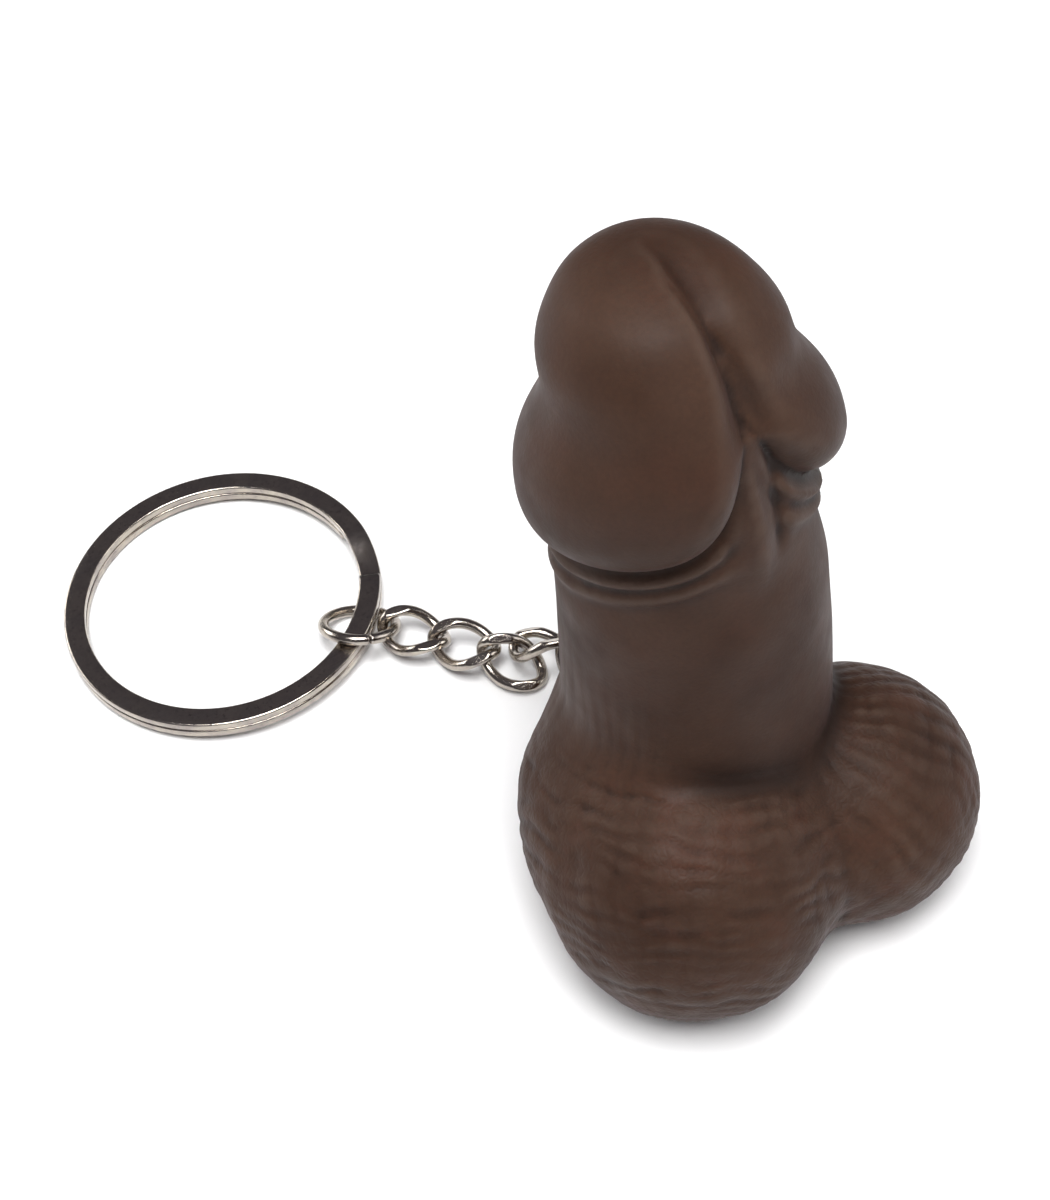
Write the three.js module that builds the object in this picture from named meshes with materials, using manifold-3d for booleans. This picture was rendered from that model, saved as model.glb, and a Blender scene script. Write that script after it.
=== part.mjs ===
// A keychain: a soft moulded novelty figure that stands on its flat base, a screw eye in its back,
// a short curb chain, a jump ring and a flat split ring for keys.
// Millimetres, +Z up. The origin is on the flat base, below the shaft. The figure faces -Y.
import * as THREE from 'three';
import { mergeVertices } from 'three/addons/utils/BufferGeometryUtils.js';
import Module from 'manifold-3d';

const wasm = await Module();
wasm.setup();

const { clamp, degToRad, lerp, radToDeg, smoothstep } = THREE.MathUtils;

// ---- Driving dimensions ----

// Figure
const TIP_HEIGHT = 68.6;          // highest point of the head above the base
const SHAFT_RADIUS = 11.0;        // at the base
const SHAFT_TAPER = 0.038;        // loss of radius for each millimetre above TAPER_START
const TAPER_START = 20;
const NECK_DEPTH = 0.7;           // how much thinner the shaft gets just under the head
const NECK_BELOW = 38;            // heights between which it does so
const NECK_ABOVE = 45;
const HEAD_RADIUS = 12.0;         // at the rim, the widest place of the head
const HEAD_WAIST = { share: 0.145, at: 28, spread: 12 };   // how much slimmer than a dome, above the rim
const WAIST_SOFTER = { share: 0.11, turn: -0.5, spread: 0.9 };   // and how much less so in front
const HEAD_CROWN = { share: 0.09, at: 68, spread: 15 };    // how much fuller than a dome, near the tip
const RIM_BACK_HEIGHT = 41.0;     // lower edge of the head at the back
const RIM_FRONT_RISE = 8.6;       // how much higher that edge is at the front
const RIM_ROLL = 5.0;             // how far above its edge the head reaches its full radius
const RIM_TUCK = 1.0;             // how far the head's lower face goes in under the shaft's radius
const NOTCH_TURN = 0.06;          // where the rim has its notch, radians from the front
const NOTCH_RISE = 10.8;          // height of the notch in the rim
const NOTCH_LEFT = 0.22;          // radians over which the edge climbs to the notch
const NOTCH_RIGHT = 0.34;
const NOTCH_ROUND = 0.055;        // radians, roundness of the notch's top
const GROOVE_DEPTH = 1.2;         // of the groove that runs up the front of the head
const GROOVE_WIDTH = 1.0;
const GROOVE_X = 0.6;             // from the shaft's axis
const SHAFT_X = -1.2;             // the shaft's axis at the base
const SHAFT_Y = 1.1;
const LEAN_START = 20;            // the shaft bends back and to the left above this height,
const LEAN_X = -0.001;            // by this much times the square of the height above it
const LEAN_Y = 0.0012;
// The three rounded lobes round the shaft's foot
const LOBE_LEFT = { at: [-8.0, -7.8, 11.4], radius: [11.9, 12.2, 12.5] };
const LOBE_RIGHT = { at: [7.7, -8.3, 9.7], radius: [10.9, 10.9, 10.8] };
const LOBE_BACK = { at: [-4.1, -0.8, 12.3], radius: [14.1, 12, 12.5] };
const CREASE_RIM = 0.5;           // widths of the rounded creases between the parts of the figure
const CREASE_FRONT = 4;
const CREASE_LOBES = 3;
const CREASE_FOOT = 1.1;          // in front and on the right, where the shaft goes down into the lobes
const FOOT_LEFT = [-1.0, -0.3];   // radians from the front over which that crease fades out
const FOOT_RIGHT = [1.6, 2.2];
const SPARE_BELOW = 1.2;          // the shaft is made this much too long, then cut off flat
const FIGURE_CELL = 2.0;          // facet size of the figure
const FIGURE_LOW = [-25, -25, -5.1];   // opposite corners of a box round it
const FIGURE_HIGH = [25, 19, 73.6];

// Screw eye in the back
const EYE_WIRE = 0.5;             // wire radius
const EYE_LOOP = 1.7;             // radius to the middle of the wire
const SHANK_RADIUS = 0.85;        // at the bottom of the thread
const THREAD_DEPTH = 0.3;
const THREAD_PITCH = 1.1;
const THREAD_RUNOUT = 0.8;        // length over which the thread fades out below the neck
const SHANK_NECK = 1.6;           // smooth part between the loop and the thread
const SHANK_POINT = 2.0;          // length of the tapered point
const SHANK_TIP = 0.25;           // radius of the tip, as a share
const SHANK_END_Y = 4.5;
const BORE_CLEARANCE = 0.3;
const BORE_LENGTH = 20;           // reaches out through the back

// Chain and rings
const CONTACT_GAP = 0.2;          // between two wires that hook into each other
const JUMP_RING_LOOP = 3.35;      // radius to the middle of the wire
const JUMP_RING_WIRE = 0.52;
const JUMP_RING_SLIT = 3;         // degrees
const EYE_RING_SLIT_AT = 90;      // degrees round each ring from its far end
const KEY_RING_SLIT_AT = -60;
const LINK_HALF_LENGTH = 3.1;     // to the middle of the wire
const LINK_HALF_WIDTH = 2.0;
const LINK_WIRE = 0.52;
const LINK_TWIST = 45;            // degrees at each end
const LINK_HALF_THICKNESS = 1.05; // the diamond-cut facets

// Split ring: two turns of flat strip
const RING_OUTER = 15;
const RING_WIDTH = 2.0;
const STRIP_THICKNESS = 0.84;
const TURN_GAP = 0.1;
const STRIP_BEVEL = 0.2;
const JOGGLE_ANGLE = 24;          // degrees over which the strip steps from one turn to the next
const JOGGLE_START = 24;          // degrees from the jump ring
const STRIP_END_GAP = 2;          // degrees between a strip end and the joggle

// Facets
const WIRE_SIDES = 10;            // round a wire
const EYE_STEPS = 24;             // along each path
const JUMP_RING_STEPS = 30;
const LINK_STEPS = 32;
const STRIP_STEPS = 140;
const SHANK_SIDES = 14;
const SHANK_ROWS = 44;
const BORE_SIDES = 20;
const ANGLE_STEP = 6e-4;          // radians, for the direction of a link's wire
const BLOCK_SIDE = 80;            // of the block that is cut away below the base

// How the chain lies on the floor, in degrees: headings and slopes along each piece, rolls about them
const KEY_RING_CENTRE = [-14.85, 35.3];   // millimetres
const FLOOR_GAP = 0.05;           // under the key jump ring and under the far side of the split ring
const SPLIT_RING_HEADING = -49.5; // from the split ring's middle to the jump ring
const JUMP_RING_INSET = 0.3;      // how much nearer that middle the jump ring is than the strip
const KEY_RING_HEADING = -40;
const KEY_RING_ROLL = -30;
const EYE_RING_HEADING = -68;
const EYE_RING_SLOPE = 16;
const EYE_RING_ROLL = 50;
const EYE_ROLL = -54;             // of the screw eye's loop about its shank
const LINK_HEADINGS = [-53, -53, -57, -55];
const LINK_SLOPES = [-1, 6, -23, 22];
const LINK_ROLLS = [8, 21, 32, -30];
const LINK_HOOKS = [0, 0, 85, 0];      // how far round each link from its far end the next piece hooks on

// ---- Where each piece lies ----

function direction(heading, slope) {
  const [a, b] = [degToRad(heading), degToRad(slope)];
  return new THREE.Vector3(Math.cos(b) * Math.cos(a), Math.cos(b) * Math.sin(a), Math.sin(b));
}

// Turns a piece's X axis to a heading and slope, after rolling it about that axis.
function pose(middle, along, rollDegrees) {
  const side = new THREE.Vector3(-along.y, along.x, 0).normalize();
  const top = new THREE.Vector3().crossVectors(along, side);
  const basis = new THREE.Matrix4().makeBasis(along, side, top);
  const roll = new THREE.Matrix4().makeRotationX(degToRad(rollDegrees));
  return new THREE.Matrix4().makeTranslation(middle).multiply(basis).multiply(roll);
}

// The middle of a curb link's wire, an oval that is twisted at both ends.
const linkTwist = (angle) => -degToRad(LINK_TWIST) * Math.cos(angle);

function linkWire(angle) {
  const length = LINK_HALF_LENGTH * Math.cos(angle);
  const side = LINK_HALF_WIDTH * Math.sin(angle);
  const twist = linkTwist(angle);
  return new THREE.Vector3(length, side * Math.cos(twist), side * Math.sin(twist));
}

const keyRingRise = JUMP_RING_LOOP * Math.abs(Math.sin(degToRad(KEY_RING_ROLL)));
const keyRingHeight = keyRingRise + JUMP_RING_WIRE + FLOOR_GAP;
const keyRingMiddle = new THREE.Vector3(...KEY_RING_CENTRE, keyRingHeight);
const keyRingAlong = direction(KEY_RING_HEADING, 0);
const meet = (a, b) => a + b + CONTACT_GAP;

// Each piece hooks with its near end round the wire of the one before it, at hook.
let hook = keyRingMiddle.clone().addScaledVector(keyRingAlong, JUMP_RING_LOOP);
let lastWire = JUMP_RING_WIRE;
const linkPoses = LINK_HEADINGS.map((heading, i) => {
  const along = direction(heading, LINK_SLOPES[i]);
  const middle = hook.clone().addScaledVector(along, LINK_HALF_LENGTH - meet(lastWire, LINK_WIRE));
  const place = pose(middle, along, LINK_ROLLS[i]);
  hook = linkWire(degToRad(LINK_HOOKS[i])).applyMatrix4(place);
  lastWire = LINK_WIRE;
  return place;
});

// The last jump ring pulls at the screw eye's wire straight from the middle of its loop.
const eyeRingAlong = direction(EYE_RING_HEADING, EYE_RING_SLOPE);
const eyeRingReach = JUMP_RING_LOOP - meet(LINK_WIRE, JUMP_RING_WIRE);
const eyeRingMiddle = hook.clone().addScaledVector(eyeRingAlong, eyeRingReach);
const shankAlong = new THREE.Vector3(0, 1, 0);
const eyeSide = new THREE.Vector3(Math.cos(degToRad(EYE_ROLL)), 0, Math.sin(degToRad(EYE_ROLL)));
const eyeNormal = new THREE.Vector3().crossVectors(eyeSide, shankAlong);
const eyePull = eyeRingAlong.clone().projectOnPlane(eyeNormal).normalize();
const eyeCentre = eyeRingMiddle.clone()
  .addScaledVector(eyeRingAlong, JUMP_RING_LOOP - meet(JUMP_RING_WIRE, EYE_WIRE))
  .addScaledVector(eyePull, EYE_LOOP);

// The split ring rests on the floor at its far side. Its near side passes through the jump ring.
const ringThickness = 2 * STRIP_THICKNESS + TURN_GAP;
const ringMiddleRadius = RING_OUTER - RING_WIDTH / 2;
const farHeight = ringThickness / 2 + FLOOR_GAP;
const ringSlope = Math.asin((keyRingHeight - farHeight) / (2 * ringMiddleRadius));
const ringAlong = direction(SPLIT_RING_HEADING, radToDeg(ringSlope));
const ringMiddle = keyRingMiddle.clone().addScaledVector(ringAlong, JUMP_RING_INSET - ringMiddleRadius);

// ---- Helpers ----

function closedGeometry(points, triangles) {
  const geometry = new THREE.BufferGeometry();
  const flat = points.flatMap((p) => [p.x, p.y, p.z]);
  geometry.setAttribute('position', new THREE.Float32BufferAttribute(flat, 3));
  geometry.setIndex(triangles.flat());
  return geometry;
}

function toSolid(geometry) {
  const bare = geometry.clone();
  bare.deleteAttribute('normal');
  bare.deleteAttribute('uv');
  const merged = mergeVertices(bare, 1e-4);
  const mesh = new wasm.Mesh({
    numProp: 3,
    vertProperties: new Float32Array(merged.attributes.position.array),
    triVerts: new Uint32Array(merged.index.array),
  });
  return new wasm.Manifold(mesh);
}

function toGeometry(solid) {
  const mesh = solid.getMesh();
  const geometry = new THREE.BufferGeometry();
  geometry.setAttribute('position', new THREE.BufferAttribute(mesh.vertProperties, 3));
  geometry.setIndex(new THREE.BufferAttribute(mesh.triVerts, 1));
  geometry.computeVertexNormals();
  return geometry;
}

// Sweeps a convex section round a path. place(t) gives the section's middle and its two axes at t from
// 0 to 1. A closed path joins its end to its start, and an open one gets flat ends.
function sweep(section, place, steps, closed, shape = (point) => point) {
  const points = [];
  const triangles = [];
  const sides = section.length;
  const rows = closed ? steps : steps + 1;
  for (let i = 0; i < rows; i += 1) {
    const { middle, across, up } = place(i / steps);
    for (const [a, b] of section) {
      points.push(shape(middle.clone().addScaledVector(across, a).addScaledVector(up, b)));
    }
  }
  for (let i = 0; i < steps; i += 1) {
    const next = (i + 1) % rows;
    for (let j = 0; j < sides; j += 1) {
      const k = (j + 1) % sides;
      triangles.push([i * sides + j, next * sides + k, i * sides + k]);
      triangles.push([i * sides + j, next * sides + j, next * sides + k]);
    }
  }
  if (!closed) {
    const last = (rows - 1) * sides;
    for (let j = 1; j < sides - 1; j += 1) {
      triangles.push([0, j, j + 1]);
      triangles.push([last, last + j + 1, last + j]);
    }
  }
  return closedGeometry(points, triangles);
}

function roundSection(radius, sides) {
  return Array.from({ length: sides }, (_, i) => {
    const angle = (2 * Math.PI * i) / sides;
    return [radius * Math.cos(angle), radius * Math.sin(angle)];
  });
}

// Turns a field that is negative inside a body into a closed mesh of near-even facets.
function surfaceOf(field, low, high, cell) {
  const count = low.map((start, axis) => Math.ceil((high[axis] - start) / cell) + 1);
  const at = (i, j, k) => [low[0] + i * cell, low[1] + j * cell, low[2] + k * cell];
  const index = (i, j, k) => (i * count[1] + j) * count[2] + k;
  const values = new Float64Array(count[0] * count[1] * count[2]);
  for (let i = 0; i < count[0]; i += 1) {
    for (let j = 0; j < count[1]; j += 1) {
      for (let k = 0; k < count[2]; k += 1) {
        values[index(i, j, k)] = field(...at(i, j, k));
      }
    }
  }
  const corners = [[0, 0, 0], [1, 0, 0], [0, 1, 0], [1, 1, 0], [0, 0, 1], [1, 0, 1], [0, 1, 1], [1, 1, 1]];
  const edgesAcross = [[0, 1], [2, 3], [4, 5], [6, 7], [0, 2], [1, 3], [4, 6], [5, 7]];
  const edges = [...edgesAcross, [0, 4], [1, 5], [2, 6], [3, 7]];
  const points = [];
  const pointOf = new Map();
  for (let i = 0; i < count[0] - 1; i += 1) {
    for (let j = 0; j < count[1] - 1; j += 1) {
      for (let k = 0; k < count[2] - 1; k += 1) {
        const here = corners.map(([a, b, c]) => values[index(i + a, j + b, k + c)]);
        const cut = edges.filter(([p, q]) => (here[p] < 0) !== (here[q] < 0));
        if (cut.length === 0) continue;
        const sum = new THREE.Vector3();
        for (const [p, q] of cut) {
          const share = here[p] / (here[p] - here[q]);
          const start = new THREE.Vector3(...corners[p]);
          sum.add(start.lerp(new THREE.Vector3(...corners[q]), share));
        }
        sum.divideScalar(cut.length);
        const point = sum.multiplyScalar(cell).add(new THREE.Vector3(...at(i, j, k)));
        pointOf.set(index(i, j, k), points.length);
        points.push(point);
      }
    }
  }
  const triangles = [];
  const addQuad = (a, b, c, d, flip) => {
    const ring = [a, b, c, d].map((key) => pointOf.get(key));
    if (flip) ring.reverse();
    triangles.push([ring[0], ring[1], ring[2]], [ring[0], ring[2], ring[3]]);
  };
  for (let i = 1; i < count[0] - 1; i += 1) {
    for (let j = 1; j < count[1] - 1; j += 1) {
      for (let k = 1; k < count[2] - 1; k += 1) {
        const inside = values[index(i, j, k)] < 0;
        const [x, y, z] = [[i + 1, j, k], [i, j + 1, k], [i, j, k + 1]].map((n) => values[index(...n)] < 0);
        if (inside !== x) {
          addQuad(index(i, j - 1, k - 1), index(i, j, k - 1), index(i, j, k), index(i, j - 1, k), !inside);
        }
        if (inside !== y) {
          addQuad(index(i - 1, j, k - 1), index(i - 1, j, k), index(i, j, k), index(i, j, k - 1), !inside);
        }
        if (inside !== z) {
          addQuad(index(i - 1, j - 1, k), index(i, j - 1, k), index(i, j, k), index(i - 1, j, k), !inside);
        }
      }
    }
  }
  return closedGeometry(points, triangles);
}

// Joins two fields with a rounded crease of about this width.
function blend(a, b, width) {
  const share = clamp(0.5 + (0.5 * (b - a)) / width, 0, 1);
  return lerp(b, a, share) - width * share * (1 - share);
}

function ellipsoidField(x, y, z, { at, radius }) {
  const [dx, dy, dz] = [x - at[0], y - at[1], z - at[2]];
  const near = Math.hypot(dx / radius[0], dy / radius[1], dz / radius[2]);
  const slope = Math.hypot(dx / radius[0] ** 2, dy / radius[1] ** 2, dz / radius[2] ** 2);
  return (near * (near - 1)) / Math.max(slope, 1e-6);
}

// ---- Figure ----

const bump = (value, middle, width) => Math.exp(-(((value - middle) / width) ** 2));

// Radius of the head at a height, above its rolled edge: a dome with a waist and a fuller crown. The
// degrees run from the widest place to the tip.
function headOutline(turn, z, edge) {
  const share = (z - edge - RIM_ROLL) / (TIP_HEIGHT - edge - RIM_ROLL);
  const angle = radToDeg(Math.asin(clamp(share, 0, 1)));
  const dome = Math.cos(degToRad(angle));
  const softer = WAIST_SOFTER.share * bump(turn, WAIST_SOFTER.turn, WAIST_SOFTER.spread);
  const waist = (HEAD_WAIST.share - softer) * bump(angle, HEAD_WAIST.at, HEAD_WAIST.spread);
  const crown = HEAD_CROWN.share * bump(angle, HEAD_CROWN.at, HEAD_CROWN.spread);
  return HEAD_RADIUS * (dome - waist + crown);
}

// How far above the head's lower edge a place on it is, square to the edge, which climbs to the notch.
function rimDistance(turn, z, edge) {
  const away = turn - NOTCH_TURN;
  const width = away < 0 ? NOTCH_LEFT : NOTCH_RIGHT;
  const rise = NOTCH_RISE * Math.exp(-(Math.hypot(away, NOTCH_ROUND) - NOTCH_ROUND) / width);
  return (z - edge - rise) / Math.hypot(1, rise / (width * HEAD_RADIUS));
}

function shaftRadius(z) {
  return SHAFT_RADIUS - SHAFT_TAPER * Math.max(z - TAPER_START, 0)
    - NECK_DEPTH * smoothstep(z, NECK_BELOW, NECK_ABOVE);
}

function figureField(x, y, z) {
  const above = Math.max(z - LEAN_START, 0);
  const px = x - SHAFT_X - LEAN_X * above * above;
  const py = y - SHAFT_Y - LEAN_Y * above * above;
  const radius = Math.hypot(px, py);
  const turn = Math.atan2(px, -py);
  const edge = RIM_BACK_HEIGHT + RIM_FRONT_RISE * (0.5 + 0.5 * Math.cos(turn));
  const inward = rimDistance(turn, z, edge);
  const shaft = Math.max(radius - shaftRadius(z), z - edge - RIM_ROLL, -z - SPARE_BELOW);
  const inner = shaftRadius(z) - RIM_TUCK;
  const down = 1 - clamp(inward / RIM_ROLL, 0, 1);
  const headRadius = inner + (headOutline(turn, z, edge) - inner) * Math.sqrt(1 - down * down);
  const inFront = py < 0 ? 1 : 0;
  const groove = GROOVE_DEPTH * bump(px, GROOVE_X, GROOVE_WIDTH) * clamp(inward, 0, 1) * inFront;
  const head = Math.max(radius - headRadius + groove, -inward, z - TIP_HEIGHT);
  const body = blend(shaft, head, CREASE_RIM);
  const left = ellipsoidField(x, y, z, LOBE_LEFT);
  const front = blend(left, ellipsoidField(x, y, z, LOBE_RIGHT), CREASE_FRONT);
  const lobes = blend(front, ellipsoidField(x, y, z, LOBE_BACK), CREASE_LOBES);
  const foot = smoothstep(turn, ...FOOT_LEFT) * (1 - smoothstep(turn, ...FOOT_RIGHT));
  return blend(body, lobes, lerp(CREASE_LOBES, CREASE_FOOT, foot));
}

function makeFigure() {
  const whole = toSolid(surfaceOf(figureField, FIGURE_LOW, FIGURE_HIGH, FIGURE_CELL));
  const below = new THREE.BoxGeometry(BLOCK_SIDE, BLOCK_SIDE, BLOCK_SIDE).translate(0, 0, -BLOCK_SIDE / 2);
  const boreRadius = SHANK_RADIUS + THREAD_DEPTH + BORE_CLEARANCE;
  const bore = new THREE.CylinderGeometry(boreRadius, boreRadius, BORE_LENGTH, BORE_SIDES);
  bore.translate(eyeCentre.x, SHANK_END_Y - BORE_CLEARANCE + BORE_LENGTH / 2, eyeCentre.z);
  return toGeometry(whole.subtract(toSolid(below)).subtract(toSolid(bore)));
}

// ---- Screw eye: a closed loop on a threaded shank ----

function makeScrewEye() {
  const loop = sweep(roundSection(EYE_WIRE, WIRE_SIDES), (t) => {
    const angle = 2 * Math.PI * t;
    const across = eyeSide.clone().multiplyScalar(Math.cos(angle));
    across.addScaledVector(shankAlong, Math.sin(angle));
    return { middle: across.clone().multiplyScalar(EYE_LOOP), across, up: eyeNormal };
  }, EYE_STEPS, true);
  loop.translate(eyeCentre.x, eyeCentre.y, eyeCentre.z);

  const sides = SHANK_SIDES;
  const rows = SHANK_ROWS;
  const length = eyeCentre.y - EYE_LOOP - SHANK_END_Y;
  const points = [new THREE.Vector3(0, 0, 0)];
  const triangles = [];
  for (let i = 1; i <= rows; i += 1) {
    const place = (length * i) / rows;
    const taper = clamp(place / SHANK_POINT, SHANK_TIP, 1);
    const fade = clamp((length - SHANK_NECK - place) / THREAD_RUNOUT, 0, 1);
    for (let j = 0; j < sides; j += 1) {
      const angle = (2 * Math.PI * j) / sides;
      const wave = 0.5 + 0.5 * Math.cos((2 * Math.PI * place) / THREAD_PITCH - angle);
      const radius = taper * (SHANK_RADIUS + THREAD_DEPTH * wave * fade);
      points.push(new THREE.Vector3(radius * Math.cos(angle), place, -radius * Math.sin(angle)));
    }
  }
  points.push(new THREE.Vector3(0, length, 0));
  const ring = (i, j) => 1 + (i - 1) * sides + (j % sides);
  for (let j = 0; j < sides; j += 1) {
    triangles.push([0, ring(1, j + 1), ring(1, j)]);
    triangles.push([points.length - 1, ring(rows, j), ring(rows, j + 1)]);
    for (let i = 1; i < rows; i += 1) {
      triangles.push([ring(i, j), ring(i, j + 1), ring(i + 1, j + 1)]);
      triangles.push([ring(i, j), ring(i + 1, j + 1), ring(i + 1, j)]);
    }
  }
  const shank = closedGeometry(points, triangles).translate(eyeCentre.x, SHANK_END_Y, eyeCentre.z);
  return toGeometry(toSolid(loop).add(toSolid(shank)));
}

// ---- Rings and links, each made along its own X axis and centred on its own middle ----

function makeJumpRing(slitAt) {
  const slit = degToRad(JUMP_RING_SLIT);
  const start = degToRad(slitAt) + slit / 2;
  const up = new THREE.Vector3(0, 0, 1);
  return sweep(roundSection(JUMP_RING_WIRE, WIRE_SIDES), (t) => {
    const angle = start + t * (2 * Math.PI - slit);
    const across = new THREE.Vector3(Math.cos(angle), Math.sin(angle), 0);
    return { middle: across.clone().multiplyScalar(JUMP_RING_LOOP), across, up };
  }, JUMP_RING_STEPS, false);
}

function makeCurbLink() {
  const cutFlat = (p) => p.setZ(clamp(p.z, -LINK_HALF_THICKNESS, LINK_HALF_THICKNESS));
  return sweep(roundSection(LINK_WIRE, WIRE_SIDES), (t) => {
    const angle = 2 * Math.PI * t;
    const middle = linkWire(angle);
    const along = linkWire(angle + ANGLE_STEP).sub(linkWire(angle - ANGLE_STEP)).normalize();
    const up = new THREE.Vector3(0, -Math.sin(linkTwist(angle)), Math.cos(linkTwist(angle)));
    const across = new THREE.Vector3().crossVectors(along, up).normalize();
    return { middle, across, up: new THREE.Vector3().crossVectors(across, along) };
  }, LINK_STEPS, true, cutFlat);
}

// Two turns of bevelled strip. The lower turn ends in a step up to the upper turn.
function makeSplitRing() {
  const turns = 360 - JOGGLE_ANGLE;
  const total = degToRad(2 * 360 - JOGGLE_ANGLE - 2 * STRIP_END_GAP);
  const first = degToRad(JOGGLE_START + JOGGLE_ANGLE + STRIP_END_GAP);
  const rise = STRIP_THICKNESS + TURN_GAP;
  const [w, h, c] = [RING_WIDTH / 2, STRIP_THICKNESS / 2, STRIP_BEVEL];
  const upper = [[w, c - h], [w, h - c], [w - c, h], [c - w, h]];
  const section = [...upper, ...upper.map(([a, b]) => [-a, -b])];
  const up = new THREE.Vector3(0, 0, 1);
  return sweep(section, (t) => {
    const turned = t * total;
    const share = (radToDeg(turned) - (turns - STRIP_END_GAP)) / JOGGLE_ANGLE;
    const height = -rise / 2 + rise * smoothstep(share, 0, 1);
    const across = new THREE.Vector3(Math.cos(first + turned), Math.sin(first + turned), 0);
    return { middle: across.clone().multiplyScalar(RING_OUTER - w).setZ(height), across, up };
  }, STRIP_STEPS, false);
}

// ---- Materials and the assembly ----

const softPlastic = { color: 0x46322a, roughness: 0.62, metalness: 0 };
const nickel = { color: 0xb9b4ac, roughness: 0.22, metalness: 1 };

const group = new THREE.Group();

function addPart(name, geometry, look, matrix = new THREE.Matrix4()) {
  const mesh = new THREE.Mesh(geometry, new THREE.MeshStandardMaterial(look));
  mesh.name = name;
  mesh.applyMatrix4(matrix);
  group.add(mesh);
}

addPart('figure', makeFigure(), softPlastic);
addPart('screw_eye', makeScrewEye(), nickel);
const eyeRingPose = pose(eyeRingMiddle, eyeRingAlong, EYE_RING_ROLL);
addPart('eye_jump_ring', makeJumpRing(EYE_RING_SLIT_AT), nickel, eyeRingPose);
linkPoses.forEach((place, i) => addPart(`chain_link_${i + 1}`, makeCurbLink(), nickel, place));
const keyRingPose = pose(keyRingMiddle, keyRingAlong, KEY_RING_ROLL);
addPart('key_jump_ring', makeJumpRing(KEY_RING_SLIT_AT), nickel, keyRingPose);
addPart('split_ring', makeSplitRing(), nickel, pose(ringMiddle, ringAlong, 0));

export default group;
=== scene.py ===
import math

import bpy
import numpy as np
from mathutils import Matrix, Vector


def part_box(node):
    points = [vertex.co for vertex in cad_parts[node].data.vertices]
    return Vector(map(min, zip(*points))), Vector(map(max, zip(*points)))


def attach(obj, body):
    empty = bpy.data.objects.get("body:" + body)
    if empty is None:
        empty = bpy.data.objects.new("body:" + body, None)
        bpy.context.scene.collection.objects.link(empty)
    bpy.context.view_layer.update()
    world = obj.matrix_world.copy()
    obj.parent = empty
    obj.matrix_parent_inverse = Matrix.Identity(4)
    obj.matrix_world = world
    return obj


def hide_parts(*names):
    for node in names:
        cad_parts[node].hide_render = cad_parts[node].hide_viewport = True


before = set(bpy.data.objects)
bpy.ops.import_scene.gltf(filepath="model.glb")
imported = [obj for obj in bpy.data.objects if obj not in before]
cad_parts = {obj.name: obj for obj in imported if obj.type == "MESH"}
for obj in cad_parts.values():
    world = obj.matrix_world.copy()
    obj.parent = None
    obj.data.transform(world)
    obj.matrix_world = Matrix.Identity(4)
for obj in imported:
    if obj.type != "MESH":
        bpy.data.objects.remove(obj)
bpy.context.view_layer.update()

MM = 0.001

# ---- Camera ----

CAMERA_AT = (-66.2, -88.3, 180.7)      # millimetres
CAMERA_HEADING = 29.2                  # degrees, turned from +Y towards +X
CAMERA_PITCH = 53.05                   # degrees below level
CAMERA_ROLL = -4.75
CAMERA_LENS = 72.0                     # on a 36 mm sensor
CAMERA_SENSOR = 36

# ---- Figure: the shapes it shares with its CAD piece ----
# Where two numbers stand for a fade, it is nothing at the first and full at the second.

TIP_HEIGHT = 68.6
SHAFT_RADIUS = 11.0                    # at the base
SHAFT_TAPER = 0.038                    # loss of radius for each millimetre above TAPER_START
TAPER_START = 20
NECK_DEPTH = 0.7                       # how much thinner the shaft gets just under the head
NECK_HEIGHTS = (38, 45)
SHAFT_X = -1.2                         # the shaft's axis at the base
SHAFT_Y = 1.1
LEAN_START = 20.0                      # the shaft bends back and to the left above this height
LEAN_X = -0.001
LEAN_Y = 0.0012
HEAD_RADIUS = 12.0                     # at the rim, the widest place of the head
HEAD_WAIST = (0.145, 28, 12)           # how much slimmer than a dome, and its middle and width in degrees
WAIST_SOFTER_LEFT = (0.11, -0.5, 0.9)  # how much less so, and where round the head in radians
WAIST_SOFTER_RIGHT = (0.04, 1.1, 0.6)
HEAD_CROWN = (0.09, 68, 15)            # how much fuller than a dome, and its middle and width in degrees
RIM_BACK_HEIGHT = 41.0                 # lower edge of the head at the back
RIM_FRONT_RISE = 8.6                   # how much higher that edge is at the front
RIM_ROLL = 5.0                         # how far in from its edge the head reaches its full radius
RIM_TUCK = 1.0                         # how far the head's lower face goes in under the shaft's radius
RIM_STEEPNESS = 0.9                    # of the field below the edge
NOTCH_TURN = 0.06                      # radians from the front
NOTCH_RISE = 10.8
NOTCH_LEFT = 0.22                      # radians over which the edge climbs to the notch
NOTCH_RIGHT = 0.34
NOTCH_ROUND = 0.055                    # radians, roundness of the notch's top
LOBE_LEFT = ((-8.0, -7.8, 11.4), (11.9, 12.2, 12.5))
LOBE_RIGHT = ((7.7, -8.3, 9.7), (10.9, 10.9, 10.8))
LOBE_BACK = ((-4.1, -0.8, 12.3), (14.1, 12.0, 12.5))
CREASE_FRONT = 4                       # widths of the rounded creases between the parts
CREASE_LOBES = 3
CREASE_FOOT = 1.1                      # in front and on the right, where the shaft meets the lobes
FOOT_LEFT = (-1.0, -0.3)               # radians from the front, its fades
FOOT_RIGHT = (2.2, 1.6)
BASE_ROUND = 0.6                       # roundness of the base's edge

# ---- Figure: the detail of its skin ----

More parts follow.
